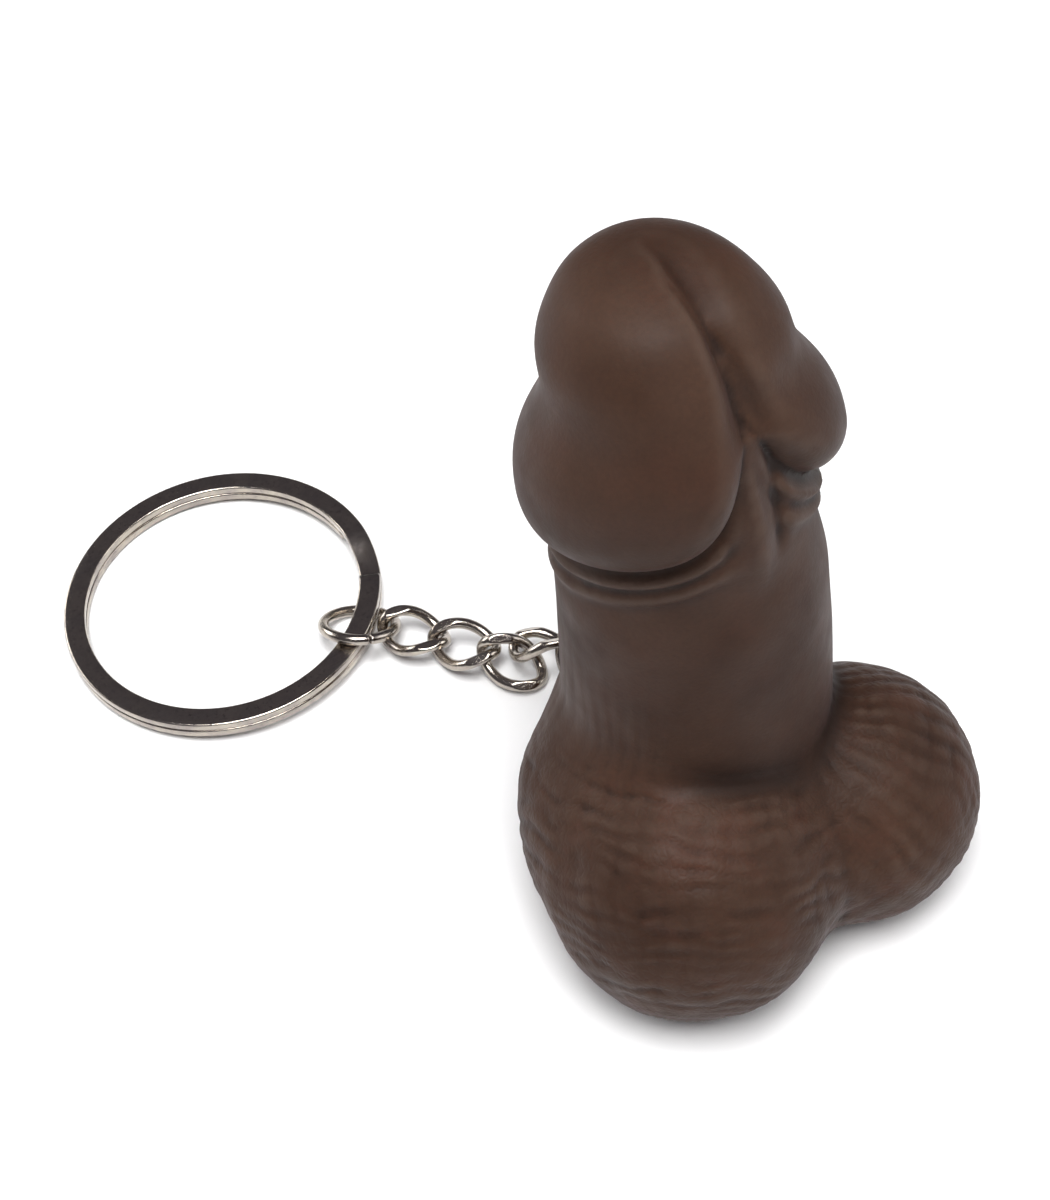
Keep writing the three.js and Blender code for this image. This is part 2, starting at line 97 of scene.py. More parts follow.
FRONT = (1.2, 0.4)                     # radians from the front, fade of what only the front has
SHAFT_TOP = 64                         # inside the head
SHAFT_INSET = 0.5                      # least depth of the shaft inside the head's outline
SHAFT_DEEPER = 1.8                     # how much deeper it is near its top
SHAFT_DEEPER_HEIGHTS = (51, 61)
CREASE_RIM = 0.5
CREASE_NOTCH = 1.3                     # how much wider that crease is in the notch
CREASE_NOTCH_HEIGHTS = (51, 57)
RIDGE_X = 0.1                          # the ridge that runs up the shaft into the notch
RIDGE_HEIGHT = 0.75
RIDGE_WIDTH = 0.6
RIDGE_SPLAY = 0.7                      # how much wider it is lower down
RIDGE_SPLAY_HEIGHTS = (57, 47)
RIDGE_FOOT = (43, 49)                  # heights of its two fades
RIDGE_TOP = (61, 50)
SIDE_CREASE_LEFT = (0.35, -2.2, 0.7)   # depth, middle and width of the creases beside the ridge
SIDE_CREASE_RIGHT = (0.55, 2.1, 0.6)
SIDE_CREASE_LEFT_FOOT = (48, 51)
SIDE_CREASE_RIGHT_FOOT = (46, 49)
RIM_FOLD_UPPER = (0.6, -1.5, 0.65)     # height, place above the rim's edge and width
RIM_FOLD_LOWER = (0.42, -3.3, 0.7)
FOLDS_CLEAR = 1.7                      # half-width of the ridge's gap in them
FOLDS_FULLER = 0.3                     # how much higher they are on the right
FOLDS_FULLER_START = (0.1, 0.25)       # radians from the front
FOLDS_FULLER_END = (1.6, 0.6)
GROOVE_DEPTH = 1.2                     # of the groove that runs up the front of the head
GROOVE_X = 1.3                         # its place over the shaft's axis
GROOVE_SLANT = 0.1                     # how far it goes left for each millimetre forwards
GROOVE_LEFT = 0.6                      # widths of its steep left side and its gentle right side
GROOVE_RIGHT = 1.5
GROOVE_START = (-1.0, 3.0)             # fade, in millimetres above the rim's edge
GROOVE_END = (2.6, -3.0)               # fade, in millimetres behind the shaft's axis
SHAFT_ROOT = (-0.8, 0.8, 24.0)         # the wrinkles of both lobes run round this point
WRINKLE_DEPTH = 0.33
WRINKLES_LEFT = (2.0, 1.0, 0.22)       # spacing of the rows, strength of the rows and of the columns
WRINKLES_RIGHT = (2.4, 0.4, 0.8)
WRINKLE_COLUMNS = 34                   # round a whole lobe
WRINKLE_POLE = 0.5                     # sine of the angle from the rows' pole where they fade out
LUMP_DEPTH = 0.18
SEAM_DEPTH = 0.12                      # of the line between the two front lobes
SEAM_WIDTH = 0.8
STREAK_DEPTH = 0.09                    # of the upright streaks on the shaft
STREAK_COUNT = 22                      # on half the shaft's girth
STREAK_HEIGHTS = (38, 26)
STREAK_TURN = (0.5, 1.1)
WAVE_DEPTH = 0.06                      # of the shaft's slow unevenness
CAVITY_FULL = 0.35                     # hollowness, per millimetre, that counts as a full crease
CAVITY_ROUNDS = 3                      # of evening out
# Where the painted shade at the shaft's foot lies:
FOOT_SHADE_LEFT = (-1.3, -0.4)         # radians from the front
FOOT_SHADE_RIGHT = (2.0, 1.3)
FOOT_SHADE_UP_SHAFT = 1.5
FOOT_SHADE_OVER_LOBES = 2.4
FIGURE_CELL = 0.32
FIGURE_LOW = (-24, -24, -1.5)          # opposite corners of a box round it
FIGURE_HIGH = (24, 18, TIP_HEIGHT + 2)
SETTLE_ROUNDS = 3

# ---- Metal fittings ----

JUMP_RING_LOOP = 3.35                  # radius to the middle of the wire
JUMP_RING_WIRE = 0.52                  # radius of the wire
JUMP_RING_SLIT = 3.0                   # degrees
KEY_RING_SLIT_AT = -60                 # degrees round each ring from the side it points at
EYE_RING_SLIT_AT = 90
WIRE_END_ROUND = 0.12                  # length of a cut wire's rounded end, and the share it narrows by
LINK_HALF_LENGTH = 3.1                 # to the middle of the wire
LINK_HALF_WIDTH = 2.0
LINK_WIRE = 0.52
LINK_TWIST = 45.0                      # degrees at each end
LINK_HALF_THICKNESS = 1.05             # the flat-cut faces
LINK_COUNT = 4
PATH_STEP = 1e-4                       # share of a link's wire, for its direction
RING_OUTER = 15.0
RING_WIDTH = 2.0
STRIP_THICKNESS = 0.84
TURN_GAP = 0.1
STRIP_BEVEL = 0.2
BEVEL_POINTS = 6
JOGGLE_ANGLE = 24.0                    # degrees over which the strip steps from one turn to the next
JOGGLE_START = 24.0                    # degrees from the jump ring
STRIP_END_GAP = 2.0                    # degrees between a strip end and the joggle
EYE_LOOP = 1.7
EYE_WIRE = 0.5
EYE_ROLL = -54.0                       # degrees, of the loop about its shank
SHANK_RADIUS = 0.85                    # at the bottom of the thread
THREAD_DEPTH = 0.3
THREAD_PITCH = 1.1
THREAD_SHARPNESS = 1.5
THREAD_RUNOUT = 0.8                    # length over which the thread fades out below the neck
SHANK_END_Y = 4.5
SHANK_NECK = 1.6                       # smooth part between the loop and the thread
SHANK_POINT = 2.0                      # tapered part
SHANK_TIP = 0.2                        # radius of the tip, as a share
SHANK_START = 0.02                     # place of the first ring of points, as a share of the length
SIDES = 24       # round a wire
JUMP_RING_STEPS = 10 * SIDES           # along each path
LINK_STEPS = 6 * SIDES
STRIP_STEPS = 20 * SIDES
EYE_STEPS = 4 * SIDES
SHANK_ROWS = 8 * SIDES

# ---- Colours ----

PLASTIC_DARK = (0.036, 0.0172, 0.0108, 1)
PLASTIC_LIGHT = (0.058, 0.0295, 0.0188, 1)
PLASTIC_RED = (0.07, 0.0265, 0.0165, 1)
PLASTIC_SPECK = (0.022, 0.0135, 0.011, 1)
# painted shade for hollows and creases
PLASTIC_CREASE_SHADE = (0.01, 0.0055, 0.0045, 1)
# painted shade where the front of the shaft meets the lobes
PLASTIC_FOOT_SHADE = (0.009, 0.005, 0.004, 1)
# painted highlight on ridges
PLASTIC_RIDGE_HIGHLIGHT = (0.085, 0.054, 0.04, 1)
PLASTIC_SHEEN = (0.85, 0.75, 0.85, 1)
NICKEL_BRIGHT = (0.5, 0.45, 0.385, 1)
NICKEL_SMUDGED = (0.32, 0.285, 0.265, 1)
NICKEL_PITTED = (0.16, 0.135, 0.13, 1)
FLOOR_DARK = (0.9, 0.9, 0.9, 1)
FLOOR_LIGHT = (0.93, 0.93, 0.93, 1)
WALL = (0.12, 0.12, 0.125, 1)
CEILING = (0.1, 0.092, 0.105, 1)


# ---- Helpers: numbers ----

def smooth(low, high, value):
    """0 at low and 1 at high, with a smooth step between them. low may be the larger."""
    share = np.clip((value - low) / (high - low), 0, 1)
    return share * share * (3 - 2 * share)


def bump(value, middle, width):
    return np.exp(-((value - middle) / width) ** 2)


def swell(value, shape):
    """A bump with the height, middle and width that shape gives."""
    height, middle, width = shape
    return height * bump(value, middle, width)


def blend(a, b, width):
    """Joins two fields with a rounded crease of about this width."""
    share = np.clip(0.5 + 0.5 * (b - a) / width, 0, 1)
    return b + (a - b) * share - width * share * (1 - share)


def unit(vector):
    vector = np.asarray(vector, float)
    return vector / np.linalg.norm(vector)


NOISE_SIZE = 32
NOISE_SEED = 5
NOISE = np.random.default_rng(NOISE_SEED).random((NOISE_SIZE,) * 3)


def noise(point, size, shift=(0, 0, 0)):
    """Smooth random numbers from -1 to 1 that change over about this distance, along all axes or each
    axis in turn. A shift picks other numbers."""
    cells, shares = [], []
    for value, one_size, offset in zip(point, np.broadcast_to(size, 3), shift):
        value = value / one_size + offset
        base = np.floor(value)
        share = value - base
        cells.append(base.astype(int) % NOISE_SIZE)
        shares.append(share * share * (3 - 2 * share))
    total = 0
    for corner in range(8):
        weight = 1
        place = []
        for axis in range(3):
            high = corner >> axis & 1
            weight = weight * (shares[axis] if high else 1 - shares[axis])
            place.append((cells[axis] + high) % NOISE_SIZE)
        total = total + weight * NOISE[tuple(place)]
    return 2 * total - 1


def crease(value):
    """1 at each whole number and 0 halfway between, with narrow valleys and round ridges."""
    return 1 - np.sqrt(np.abs(np.sin(math.pi * value)) + 1e-4)


def ellipsoid(x, y, z, lobe):
    at, radius = lobe
    offsets = [x - at[0], y - at[1], z - at[2]]
    near = np.sqrt(sum((d / r) ** 2 for d, r in zip(offsets, radius)))
    slope = np.sqrt(sum((d / r ** 2) ** 2 for d, r in zip(offsets, radius)))
    return near * (near - 1) / np.maximum(slope, 1e-6)


# ---- Helpers: meshes ----

def mesh_object(name, points, faces, smooth_faces=True):
    """points are in millimetres."""
    mesh = bpy.data.meshes.new(name)
    vertices = (np.asarray(points, float) * MM).tolist()
    mesh.from_pydata(vertices, [], [tuple(map(int, face)) for face in faces])
    mesh.validate()
    mesh.polygons.foreach_set("use_smooth", [smooth_faces] * len(mesh.polygons))
    piece = bpy.data.objects.new(name, mesh)
    bpy.context.scene.collection.objects.link(piece)
    return piece


def sweep(section, place, steps, closed):
    """Points and faces of a section carried along a path. place(t) gives its middle and its two axes."""
    sides = len(section)
    rows = steps if closed else steps + 1
    points = []
    for i in range(rows):
        middle, across, up = place(i / steps)
        points += [middle + across * a + up * b for a, b in section]
    faces = []
    for i in range(steps):
        j = (i + 1) % rows
        for k in range(sides):
            n = (k + 1) % sides
            faces.append((i * sides + k, j * sides + k, j * sides + n, i * sides + n))
    if not closed:
        last = (rows - 1) * sides
        faces.append(tuple(range(sides)))
        faces.append(tuple(last + k for k in reversed(range(sides))))
    return np.array(points), faces


def round_section(radius, sides):
    angles = [2 * math.pi * k / sides for k in range(sides)]
    return [(radius * math.cos(a), radius * math.sin(a)) for a in angles]


def surface_net(field, low, high, cell):
    """A closed quad mesh of the surface where the field is zero."""
    axes = [np.arange(a, b + cell, cell) for a, b in zip(low, high)]
    values = field(*np.meshgrid(*axes, indexing="ij"))
    inside = values < 0
    size = [n - 1 for n in values.shape]
    corners = [(a, b, c) for a in (0, 1) for b in (0, 1) for c in (0, 1)]

    def part(offset):
        return values[tuple(slice(o, o + n) for o, n in zip(offset, size))]

    total = np.zeros((*size, 3))
    count = np.zeros(size)
    for start in corners:
        for axis in range(3):
            if start[axis]:
                continue
            end = tuple(v + (k == axis) for k, v in enumerate(start))
            a, b = part(start), part(end)
            crossed = (a < 0) != (b < 0)
            share = np.where(crossed, a / np.where(crossed, a - b, 1), 0)
            for k in range(3):
                total[..., k] += np.where(crossed, start[k] + (share if k == axis else 0), 0)
            count += crossed
    used = count > 0
    number = np.full(size, -1)
    number[used] = np.arange(used.sum())
    points = np.array(low) + cell * (np.argwhere(used) + total[used] / count[used][:, None])
    faces = []
    for axis in range(3):
        u, v = [k for k in range(3) if k != axis]
        change = inside != np.roll(inside, -1, axis)
        keep = [slice(1, n) for n in size]
        keep[axis] = slice(0, size[axis])
        where = np.argwhere(change[tuple(keep)])
        where += np.array([0 if k == axis else 1 for k in range(3)])
        ring = []
        for du, dv in ((1, 1), (0, 1), (0, 0), (1, 0)):
            cell_at = where.copy()
            cell_at[:, u] -= du
            cell_at[:, v] -= dv
            ring.append(number[tuple(cell_at.T)])
        quad = np.stack(ring, 1)
        flip = inside[tuple(where.T)] == (axis == 1)
        quad[flip] = quad[flip][:, ::-1]
        faces.append(quad)
    return points, np.concatenate(faces)


def gradient(points, field, step=0.02):
    x, y, z = points.T
    return np.stack([
        field(x + step, y, z) - field(x - step, y, z),
        field(x, y + step, z) - field(x, y - step, z),
        field(x, y, z + step) - field(x, y, z - step)], 1) / (2 * step)


def settle(points, field, rounds):
    """Moves points onto the surface where the field is zero, by less than a cell in each round."""
    least_slope = 0.3
    most_cells = 0.7
    for _ in range(rounds):
        slope = gradient(points, field)
        scale = np.maximum((slope ** 2).sum(1), least_slope)
        move = slope * (field(*points.T) / scale)[:, None]
        far = np.maximum(np.linalg.norm(move, axis=1) / (most_cells * FIGURE_CELL), 1)
        points = points - move / far[:, None]
    return points


def apply_modifiers(piece):
    evaluated = piece.evaluated_get(bpy.context.evaluated_depsgraph_get())
    mesh = bpy.data.meshes.new_from_object(evaluated)
    piece.modifiers.clear()
    piece.data = mesh


# ---- Figure ----

def shaft_place(x, y, z):
    """Place in the shaft's section, which leans with height."""
    above = np.maximum(z - LEAN_START, 0)
    return x - SHAFT_X - LEAN_X * above ** 2, y - SHAFT_Y - LEAN_Y * above ** 2


def head_outline(turn, z, side):
    """Radius of the head at a height, without its rolled edge: a dome with a waist and a fuller crown."""
    share = (z - side - RIM_ROLL) / (TIP_HEIGHT - side - RIM_ROLL)
    angle = np.degrees(np.arcsin(np.clip(share, 0, 1)))
    depth, middle, width = HEAD_WAIST
    depth = depth - swell(turn, WAIST_SOFTER_LEFT) - swell(turn, WAIST_SOFTER_RIGHT)
    waist = depth * bump(angle, middle, width)
    return HEAD_RADIUS * (np.cos(np.radians(angle)) - waist + swell(angle, HEAD_CROWN))


def rim_distance(turn, z, side):
    """How far above the head's lower edge a place on it is, square to the edge."""
    away = turn - NOTCH_TURN
    width = np.where(away < 0, NOTCH_LEFT, NOTCH_RIGHT)
    rise = NOTCH_RISE * np.exp(-(np.hypot(away, NOTCH_ROUND) - NOTCH_ROUND) / width)
    steep = np.sqrt(1 + (rise / (width * HEAD_RADIUS)) ** 2)
    return (z - side - rise) / steep


def shaft_radius_at(z, outline):
    """Radius of the shaft, which stays inside the head's outline."""
    radius = SHAFT_RADIUS - SHAFT_TAPER * np.maximum(z - TAPER_START, 0)
    radius = radius - NECK_DEPTH * smooth(*NECK_HEIGHTS, z)
    return np.minimum(radius, outline - SHAFT_INSET - SHAFT_DEEPER * smooth(*SHAFT_DEEPER_HEIGHTS, z))


def notch_ridge(px, z):
    """Height of the ridge below the notch, less the depth of the crease on each side of it."""
    ridge = RIDGE_HEIGHT * bump(px, RIDGE_X, RIDGE_WIDTH + RIDGE_SPLAY * smooth(*RIDGE_SPLAY_HEIGHTS, z))
    ridge = ridge * smooth(*RIDGE_FOOT, z) * smooth(*RIDGE_TOP, z)
    left = swell(px, SIDE_CREASE_LEFT) * smooth(*SIDE_CREASE_LEFT_FOOT, z)
    right = swell(px, SIDE_CREASE_RIGHT) * smooth(*SIDE_CREASE_RIGHT_FOOT, z)
    return ridge - (left + right)


def rim_folds(px, turn, inward, front):
    """Height of the folds of skin under the rim, which stop at the ridge."""
    folds = swell(inward, RIM_FOLD_UPPER) + swell(inward, RIM_FOLD_LOWER)
    fuller = smooth(*FOLDS_FULLER_START, turn) * smooth(*FOLDS_FULLER_END, turn)
    return folds * (1 - bump(px, RIDGE_X, FOLDS_CLEAR) * front) * (1 + FOLDS_FULLER * fuller)


def head_groove(px, py, inward):
    """Depth of the groove that runs from the notch over the front of the head."""
    across = px - GROOVE_X + GROOVE_SLANT * np.maximum(-py, 0)
    valley = np.where(across < 0, bump(across, 0, GROOVE_LEFT), bump(across, 0, GROOVE_RIGHT))
    return GROOVE_DEPTH * valley * smooth(*GROOVE_END, py) * smooth(*GROOVE_START, inward)


def shaft_and_head(x, y, z):
    """Below zero inside the shaft and head, and about the distance to their surface near it."""
    px, py = shaft_place(x, y, z)
    radius = np.hypot(px, py)
    turn = np.arctan2(px, -py)
    side = RIM_BACK_HEIGHT + RIM_FRONT_RISE * (0.5 + 0.5 * np.cos(turn))
    inward = rim_distance(turn, z, side)
    front = smooth(*FRONT, np.abs(turn))

    outline = head_outline(turn, z, side)
    shaft_radius = shaft_radius_at(z, outline)
    folds = rim_folds(px, turn, inward, front)
    shaft = np.maximum(radius - shaft_radius - folds - front * notch_ridge(px, z), z - SHAFT_TOP)

    step = 0.1
    above, below = head_outline(turn, z + step, side), head_outline(turn, z - step, side)
    tilt = (above - below) / (2 * step)
    inner = shaft_radius - RIM_TUCK
    rolled = np.sqrt(1 - (1 - np.clip(inward / RIM_ROLL, 0, 1)) ** 2)
    head_radius = inner + (outline - inner) * rolled
    head = (radius - head_radius) / np.sqrt(1 + tilt ** 2) + head_groove(px, py, inward)
    head = np.maximum(head, -RIM_STEEPNESS * inward)
    head = np.maximum(head, z - TIP_HEIGHT)
    return blend(shaft, head, CREASE_RIM + CREASE_NOTCH * smooth(*CREASE_NOTCH_HEIGHTS, z))


def lobe_wrinkles(point, lobe, spacing, rows, columns):
    """Depth of the broken creases that run round and away from the shaft's root on one lobe."""
    at = np.array(lobe[0])
    pole = unit(np.array(SHAFT_ROOT) - at)
    first = unit(np.cross(pole, (0, 0, 1)))
    second = np.cross(pole, first)
    offset = np.stack([value - middle for value, middle in zip(point, at)])
    size = np.sqrt((offset ** 2).sum(0)) + 1e-6
    along = [np.tensordot(axis, offset, 1) / size for axis in (first, second, pole)]
    away = np.arccos(np.clip(along[2], -1, 1)) * lobe[1][0]
    around = np.arctan2(along[1], along[0])

    # The rows wander, and where a patch ends they change over to closer rows.
    drift = noise(point, 4) + 0.35 * noise(point, 1.7, (9, 0, 0))
    row = crease(away / spacing + 0.55 * drift)
    other_row = crease(away / (0.7 * spacing) + 0.75 * drift + 0.3)
    patch = smooth(-0.3, 0.3, noise(point, 4, (0, 0, 3)))
    broken = 0.25 + 0.75 * smooth(-0.5, 0.3, noise(point, 2.2, (4, 0, 0)))
    rows = rows * broken * (row * patch + 0.75 * other_row * (1 - patch))

    turns = around * WRINKLE_COLUMNS / (2 * math.pi)
    column = crease(turns + 0.5 * noise(point, 4, (0, 7, 0)) + 0.2 * drift)
    columns = columns * column * (0.4 + 0.6 * smooth(-0.3, 0.4, noise(point, 3, (8, 0, 0))))
    return (rows + columns) * smooth(0, WRINKLE_POLE, np.sin(away / lobe[1][0]))


def lobe_relief(point, left, right):
    """Depth of the wrinkles, lumps and seam of the two front lobes, from the fields of both."""
    mostly_left = smooth(-2, 2, right - left)
    wrinkles = lobe_wrinkles(point, LOBE_LEFT, *WRINKLES_LEFT) * mostly_left
    wrinkles = wrinkles + lobe_wrinkles(point, LOBE_RIGHT, *WRINKLES_RIGHT) * (1 - mostly_left)
    lumps = noise(point, 4.5, (0, 0, 5)) + 0.4 * noise(point, 2, (0, 0, 5))
    seam = SEAM_DEPTH * bump(right - left + 0.5 * noise(point, 3), 0, SEAM_WIDTH)
    return WRINKLE_DEPTH * wrinkles - LUMP_DEPTH * lumps + seam


def shaft_relief(point, turn):
    """Depth of the streaks low on the shaft's sides and back, and of its slow unevenness."""
    streaks = crease(turn * STREAK_COUNT / math.pi + 0.6 * noise(point, (6, 6, 8)))
    share = smooth(*STREAK_HEIGHTS, point[2]) * smooth(*STREAK_TURN, np.abs(turn))
    return STREAK_DEPTH * streaks * share - WAVE_DEPTH * noise(point, (5, 5, 6))


def figure_field(x, y, z, detail=False):
    """Below zero inside the figure, and about the distance to its surface near it."""
    body = shaft_and_head(x, y, z)
    left = ellipsoid(x, y, z, LOBE_LEFT)
    right = ellipsoid(x, y, z, LOBE_RIGHT)
    lobes = blend(blend(left, right, CREASE_FRONT), ellipsoid(x, y, z, LOBE_BACK), CREASE_LOBES)
    px, py = shaft_place(x, y, z)
    turn = np.arctan2(px, -py)
    if detail:
        point = (x, y, z)
        lobes = lobes + smooth(0.2, 2, body) * lobe_relief(point, left, right)
        body = body + shaft_relief(point, turn)
    foot = smooth(*FOOT_LEFT, turn) * smooth(*FOOT_RIGHT, turn)
    whole = blend(body, lobes, CREASE_LOBES + (CREASE_FOOT - CREASE_LOBES) * foot)
    return -blend(-whole, z, BASE_ROUND)


def detailed_figure_field(x, y, z):
    return figure_field(x, y, z, detail=True)


def cavity_of(mesh):
    """How hollow the surface is at each vertex: about 1 in a sharp crease and below 0 on a ridge."""
    count = len(mesh.vertices)
    points = np.empty(count * 3)
    mesh.vertices.foreach_get("co", points)
    points = points.reshape(-1, 3) / MM
    normals = np.empty(count * 3)
    mesh.vertices.foreach_get("normal", normals)
    edges = np.empty(len(mesh.edges) * 2, int)
    mesh.edges.foreach_get("vertices", edges)
    a, b = edges.reshape(-1, 2).T
    degree = np.maximum(np.bincount(a, minlength=count) + np.bincount(b, minlength=count), 1)

    def around(values):
        total = np.zeros_like(values)
        np.add.at(total, a, values[b])
        np.add.at(total, b, values[a])
        return total / (degree[:, None] if values.ndim == 2 else degree)

    hollow = ((around(points) - points) * normals.reshape(-1, 3)).sum(1) / FIGURE_CELL ** 2
    for _ in range(CAVITY_ROUNDS):
        hollow = 0.5 * hollow + 0.5 * around(hollow)
    return np.clip(hollow / CAVITY_FULL, -1, 1)


def foot_shade(points):
    """Mask of the painted shade: 1 where the front of the shaft goes down into the lobes, and 0 elsewhere.
    """
    x, y, z = points.T
    body = shaft_and_head(x, y, z)
    lobes = np.minimum(ellipsoid(x, y, z, LOBE_LEFT), ellipsoid(x, y, z, LOBE_RIGHT))
    px, py = shaft_place(x, y, z)
    turn = np.arctan2(px, -py)
    front = smooth(*FOOT_SHADE_LEFT, turn) * smooth(*FOOT_SHADE_RIGHT, turn)
    return front * bump(body, 0, FOOT_SHADE_UP_SHAFT) * bump(np.maximum(lobes, 0), 0, FOOT_SHADE_OVER_LOBES)


def add_attribute(mesh, name, values):
    layer = mesh.attributes.new(name, "FLOAT", "POINT")
    layer.data.foreach_set("value", np.asarray(values, np.float32))


def finish_piece(piece, material, node, body):
    """Gives a piece its material, and puts it in the place of a CAD node on a body."""
    piece.data.materials.append(material)
    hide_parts(node)
    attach(piece, body)


def make_figure(plastic):
    points, faces = surface_net(figure_field, FIGURE_LOW, FIGURE_HIGH, FIGURE_CELL)
    points = settle(points, detailed_figure_field, SETTLE_ROUNDS)
    figure = mesh_object("figure_skin", points, faces)
    add_attribute(figure.data, "lobes", smooth(0.2, 2.5, shaft_and_head(*points.T)))
    # How hollow the skin is, which sets the painted shade in creases and the painted highlight on ridges.
    add_attribute(figure.data, "cavity", cavity_of(figure.data))
    # mask of the painted shade at the shaft's foot
    add_attribute(figure.data, "foot", foot_shade(points))
    finish_piece(figure, plastic, "figure", "figure_body")


# ---- Materials ----

def new_material(name, **constants):
    """A material whose shader has these constant values, with its nodes and a way to join them."""
    material = bpy.data.materials.new(name)
    material.use_nodes = True
    nodes, links = material.node_tree.nodes, material.node_tree.links
    principled = nodes["Principled BSDF"]
    for socket, value in constants.items():
        principled.inputs[socket.replace("_", " ")].default_value = value

    def add(kind, settings=(), **sockets):
        """Adds a node. A socket is given by its name or its number, as a value or another node's output."""
        made = nodes.new("ShaderNode" + kind)
        for key, value in dict(settings).items():
            setattr(made, key, value)
        for key, value in sockets.items():
            place = int(key[1:]) if key[1:].isdigit() else key.replace("_", " ")
            if isinstance(value, bpy.types.NodeSocket):
                links.new(value, made.inputs[place])
            else:
                made.inputs[place].default_value = value
        return made

    def wire(output, socket):
        links.new(output, principled.inputs[socket])

    return material, add, wire


def noise_node(add, at, scale, detail=4.0, roughness=0.55):
    return add("TexNoise", Vector=at, Scale=scale, Detail=detail, Roughness=roughness).outputs["Fac"]


def spread(add, value, low, high, to_low=0.0, to_high=1.0):
    """Maps low..high to to_low..to_high, and holds it inside them."""
    return add("MapRange", {"clamp": True}, Value=value, From_Min=low, From_Max=high,
               To_Min=to_low, To_Max=to_high).outputs["Result"]


def mix_colour(add, share, a, b):
    return add("Mix", {"data_type": "RGBA"}, s0=share, s6=a, s7=b).outputs[2]


def times(add, a, b):
    return add("Math", {"operation": "MULTIPLY"}, s0=a, s1=b).outputs[0]


def times_plus(add, a, b, c):
    return add("Math", {"operation": "MULTIPLY_ADD"}, s0=a, s1=b, s2=c).outputs[0]


def attribute(add, name):
    return add("Attribute", {"attribute_name": name}).outputs["Fac"]


def soft_plastic_material():
    """Dark brown matt soft plastic: cloudy colour, painted shade in the creases and at the shaft's foot,
    painted highlights on the ridges, a leathery skin on the lobes.
    """
    material, add, wire = new_material(
        "soft_plastic_look", Specular_IOR_Level=0.11, Subsurface_Weight=0.04, Subsurface_Scale=0.001,
        Sheen_Weight=0.025, Sheen_Roughness=0.4, Sheen_Tint=PLASTIC_SHEEN)
    at = add("TexCoord").outputs["Object"]
    cavity, lobes, foot = [attribute(add, name) for name in ("cavity", "lobes", "foot")]

    cloud = spread(add, noise_node(add, at, 75, 3), 0.35, 0.65)
    colour = mix_colour(add, cloud, PLASTIC_DARK, PLASTIC_LIGHT)
    blush = spread(add, noise_node(add, at, 160, 5, 0.6), 0.5, 0.68, 0, 0.55)
    blush = times(add, blush, spread(add, lobes, 0, 1, 0.35, 1))
    colour = mix_colour(add, blush, colour, PLASTIC_RED)
    speckle = spread(add, noise_node(add, at, 2600, 2), 0.3, 0.7, 0, 0.22)
    colour = mix_colour(add, speckle, colour, PLASTIC_SPECK)
    # Painted shade: darker in hollows and creases, less so on the lobes.
    crease_shade = times(add, spread(add, cavity, 0.06, 0.8, 0, 0.75), spread(add, lobes, 0, 1, 1, 0.7))
    colour = mix_colour(add, crease_shade, colour, PLASTIC_CREASE_SHADE)
    # Painted shade where the front of the shaft goes down into the lobes.
    colour = mix_colour(add, times(add, foot, 0.75), colour, PLASTIC_FOOT_SHADE)
    # Painted highlight: lighter on ridges, as if they catch the light.
    ridge_highlight = spread(add, cavity, -0.06, -0.55, 0, 0.5)
    colour = mix_colour(add, ridge_highlight, colour, PLASTIC_RIDGE_HIGHLIGHT)
    wire(colour, "Base Color")

    dull = noise_node(add, at, 260, 4)
    wire(spread(add, dull, 0.3, 0.7, 0.47, 0.64), "Roughness")

    leather = add("TexVoronoi", {"feature": "DISTANCE_TO_EDGE"}, Vector=at, Scale=1500.0).outputs["Distance"]
    leather = times(add, spread(add, leather, 0.0, 0.25), lobes)
    height = times_plus(add, leather, 0.9, noise_node(add, at, 3200, 3))
    relief = add("Bump", Strength=0.35, Distance=0.00006, Height=height)
    wire(relief.outputs["Normal"], "Normal")
    return material


def nickel_material():
    """Bright nickel plate: a warm tint, dull smudges, fine scratches and a worn, pitted skin."""
    material, add, wire = new_material("nickel_look", Metallic=1.0)
    at = add("TexCoord").outputs["Object"]
    smudge = spread(add, noise_node(add, at, 420, 5, 0.6), 0.38, 0.66)
    colour = mix_colour(add, smudge, NICKEL_BRIGHT, NICKEL_SMUDGED)
    pits = spread(add, noise_node(add, at, 2400, 4, 0.7), 0.56, 0.7, 0, 0.6)
    colour = mix_colour(add, pits, colour, NICKEL_PITTED)
    wire(colour, "Base Color")

    stretched = add("Mapping", Vector=at, Scale=(1, 6, 1)).outputs["Vector"]
    scratch = spread(add, noise_node(add, stretched, 1500, 6, 0.75), 0.45, 0.62)
    wire(times_plus(add, scratch, 0.06, spread(add, smudge, 0, 1, 0.08, 0.2)), "Roughness")

    height = times_plus(add, scratch, 0.6, noise_node(add, at, 3800, 4, 0.65))
    relief = add("Bump", Strength=0.25, Distance=0.00002, Height=height)
    wire(relief.outputs["Normal"], "Normal")
    return material


def floor_material():
    """Pale matt board with faint clouds."""
    material, add, wire = new_material("floor_look", Roughness=0.95, Specular_IOR_Level=0.1)
    at = add("TexCoord").outputs["Object"]
    tone = spread(add, noise_node(add, at, 3, 2), 0.3, 0.7)
    wire(mix_colour(add, tone, FLOOR_DARK, FLOOR_LIGHT), "Base Color")
    return material


# ---- Metal fittings, each placed by its CAD piece ----

